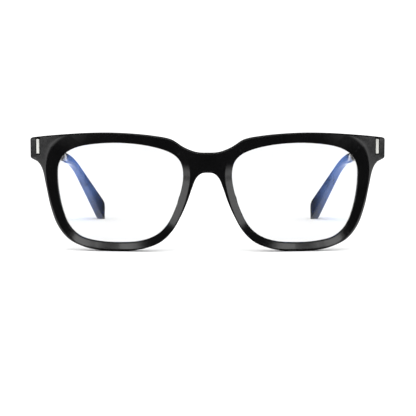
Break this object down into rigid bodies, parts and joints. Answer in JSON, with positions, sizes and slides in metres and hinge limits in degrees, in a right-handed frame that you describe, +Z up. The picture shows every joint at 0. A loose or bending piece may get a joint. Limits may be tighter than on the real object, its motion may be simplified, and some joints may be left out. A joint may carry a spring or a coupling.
{
  "type": "blue light glasses",
  "caption": "Full-rim square acetate glasses with clear coated lenses and folding temples on barrel hinges.",
  "frame": {"origin": "on the floor, under the middle of the object's box, with the rims and the temple tips on the floor", "axes": "+Z up, -Y the way the wearer looks, +X the wearer's left"},
  "size_m": [0.145, 0.1366, 0.0482],
  "materials": {
    "frame_acetate": "polished black acetate",
    "temple_acetate": "polished black acetate",
    "pad_acetate": "polished black acetate",
    "lens": "clear polycarbonate with a blue anti-reflective coating",
    "plaque_metal": "satin silver",
    "hinge_metal": "tumbled nickel silver",
    "fastener_metal": "bright steel",
    "core_metal": "drawn nickel silver"
  },
  "bodies": {
    "front": {"front_frame": "frame_acetate", "lens_left": "lens", "lens_right": "lens", "nose_pad_left": "pad_acetate", "nose_pad_right": "pad_acetate", "front_plaque_left": "plaque_metal", "front_plaque_right": "plaque_metal", "front_rivets_left": "fastener_metal", "front_rivets_right": "fastener_metal", "front_hinge_left": "hinge_metal", "front_hinge_right": "hinge_metal", "hinge_screw_left": "fastener_metal", "hinge_screw_right": "fastener_metal"},
    "temple_left": {"temple_left": "temple_acetate", "core_wire_left": "core_metal", "temple_hinge_left": "hinge_metal", "temple_rivets_left": "fastener_metal"},
    "temple_right": {"temple_right": "temple_acetate", "core_wire_right": "core_metal", "temple_hinge_right": "hinge_metal", "temple_rivets_right": "fastener_metal"}
  },
  "joints": [
    {"name": "fold_left", "type": "hinge", "parent": "front", "child": "temple_left", "pos_m": [0.0644, -0.05421, 0.042], "axis": [0, 0, 1], "range_deg": [0, 84]},
    {"name": "fold_right", "type": "hinge", "parent": "front", "child": "temple_right", "pos_m": [-0.0644, -0.05421, 0.042], "axis": [0, 0, -1], "range_deg": [0, 69]}
  ]
}
